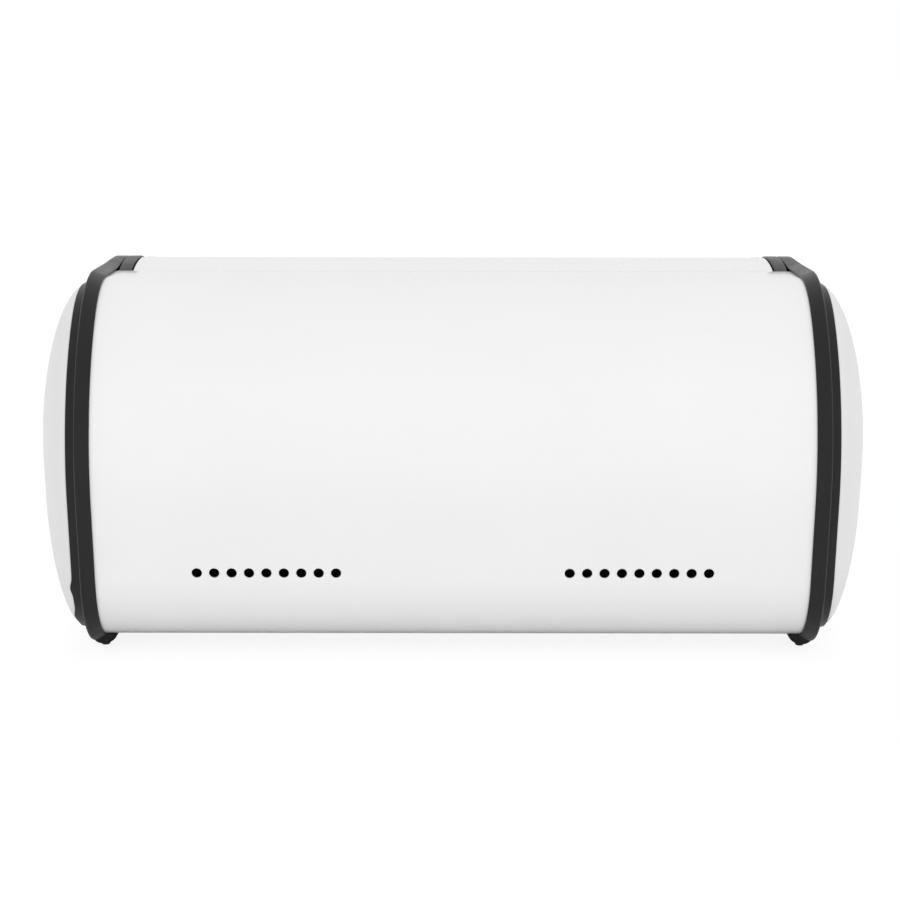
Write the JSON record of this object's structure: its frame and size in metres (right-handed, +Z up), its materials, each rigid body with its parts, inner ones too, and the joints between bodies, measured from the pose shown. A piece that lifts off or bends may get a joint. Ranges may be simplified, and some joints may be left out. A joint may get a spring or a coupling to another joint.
{
  "type": "bread box",
  "caption": "Roll-top bread box: white bent-sheet body between black end frames with domed white caps, and a curved lid that rolls back on two pivots.",
  "frame": {"origin": "middle of the box's bounding box, on the floor under its pads", "axes": "+X towards the box's right end seen from the front, +Y towards its back, +Z up; the lid's handle faces -Y"},
  "size_m": [0.4282, 0.2823, 0.1905],
  "materials": {
    "white_enamel": "gloss enamel on steel sheet",
    "white_plastic": "smooth moulded",
    "black_plastic": "satin moulded",
    "rubber": "matt",
    "nylon": "natural nylon",
    "steel": "zinc-plated"
  },
  "bodies": {
    "box": {"body_shell": "white_enamel", "end_frame_left": "black_plastic", "end_frame_right": "black_plastic", "end_cap_left": "white_plastic", "end_cap_right": "white_plastic", "cap_screw_left_1": "steel", "cap_screw_left_2": "steel", "cap_screw_left_3": "steel", "cap_screw_left_4": "steel", "cap_screw_right_1": "steel", "cap_screw_right_2": "steel", "cap_screw_right_3": "steel", "cap_screw_right_4": "steel", "foot_screw_rear_left": "steel", "foot_screw_rear_right": "steel", "foot_screw_front_left": "steel", "foot_screw_front_right": "steel", "foot_pad_rear_left": "rubber", "foot_pad_rear_right": "rubber", "foot_pad_front_left": "rubber", "foot_pad_front_right": "rubber", "pivot_pin_left": "steel", "pivot_pin_right": "steel", "pivot_washer_left": "nylon", "pivot_washer_right": "nylon", "lid_buffer_left": "rubber", "lid_buffer_right": "rubber"},
    "lid": {"lid_panel": "white_enamel", "lid_cheek_left": "black_plastic", "lid_cheek_right": "black_plastic", "lid_front_rail": "black_plastic", "lid_handle": "black_plastic", "handle_screw_left": "steel", "handle_screw_right": "steel", "lid_rivet_left_1": "white_enamel", "lid_rivet_left_2": "white_enamel", "lid_rivet_left_3": "white_enamel", "lid_rivet_left_4": "white_enamel", "lid_rivet_right_1": "white_enamel", "lid_rivet_right_2": "white_enamel", "lid_rivet_right_3": "white_enamel", "lid_rivet_right_4": "white_enamel", "pivot_bush_left": "nylon", "pivot_bush_right": "nylon"}
  },
  "joints": [
    {"name": "lid_roll", "type": "hinge", "parent": "box", "child": "lid", "pos_m": [0, -0.00126, 0.06631], "axis": [-1, 0, 0], "range_deg": [0, 88]}
  ]
}
